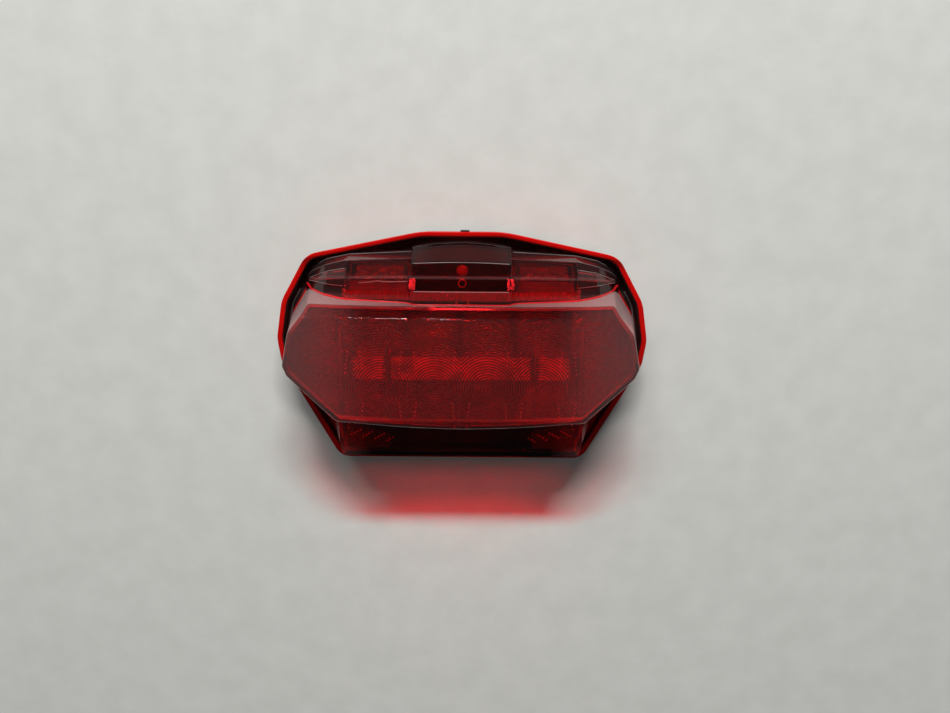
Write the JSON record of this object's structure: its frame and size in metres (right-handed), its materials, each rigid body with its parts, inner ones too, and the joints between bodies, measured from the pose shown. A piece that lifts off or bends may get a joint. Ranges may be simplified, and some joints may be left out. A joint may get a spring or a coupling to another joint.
{
  "type": "motorcycle tail light",
  "caption": "LED tail light for a motorcycle: deep red lens with stop face, upper running strip and lower reflex window on a black bolt-on housing.",
  "frame": {"origin": "centre of the rear mounting plane, in the middle of the four bolt holes", "axes": "+X to the right of someone who looks at the lens, +Y towards the top edge of the light, +Z the way the light shines"},
  "size_m": [0.1902, 0.1188, 0.0582],
  "materials": {
    "red_lens": "clear red acrylic, polished",
    "rim_red": "clear red acrylic, lit at its edge",
    "housing_black": "fine moulded grain",
    "seal_rubber": "matte",
    "bezel_black": "moulded, dark",
    "red_optic": "clear red acrylic with moulded rings",
    "red_guide": "clear red acrylic",
    "red_reflex": "clear red acrylic with moulded dots",
    "board_green": "solder mask",
    "spreader_aluminium": "rolled sheet",
    "pad_grey": "soft silicone",
    "screw_steel": "zinc plated",
    "led_white": "moulded",
    "dome_clear": "clear silicone",
    "marker_red": "tinted clear epoxy",
    "chip_black": "moulded",
    "lead_tin": "tinned",
    "capacitor_tan": "fired",
    "wire_red": "insulation",
    "wire_yellow": "insulation",
    "wire_black": "insulation",
    "socket_black": "moulded",
    "pin_brass": "tinned brass",
    "seal_orange": "soft silicone",
    "membrane_white": "woven",
    "insert_brass": "knurled brass"
  },
  "bodies": {
    "root": {"outer_lens": "red_lens", "lens_rim": "rim_red", "rear_housing": "housing_black", "perimeter_seal": "seal_rubber", "inner_bezel": "bezel_black", "marker_shroud": "bezel_black", "fresnel_plate": "red_optic", "side_light_guides": "red_guide", "reflex_panel_left": "red_reflex", "reflex_panel_right": "red_reflex", "main_board": "board_green", "upper_board": "board_green", "heat_spreader": "spreader_aluminium", "thermal_pad": "pad_grey", "board_screws": "screw_steel", "upper_board_screws": "screw_steel", "stop_led_bodies": "led_white", "side_marker_leds": "led_white", "stop_led_domes": "dome_clear", "marker_led": "marker_red", "resistors": "chip_black", "driver_chip": "chip_black", "driver_leads": "lead_tin", "diodes": "chip_black", "capacitors": "capacitor_tan", "jumper_wires": "wire_red", "stop_wire": "wire_red", "tail_wire": "wire_yellow", "ground_wire": "wire_black", "connector_socket": "socket_black", "connector_pins": "pin_brass", "connector_seal": "seal_orange", "vent_body": "socket_black", "vent_membrane": "membrane_white", "threaded_inserts": "insert_brass"}
  },
  "joints": []
}
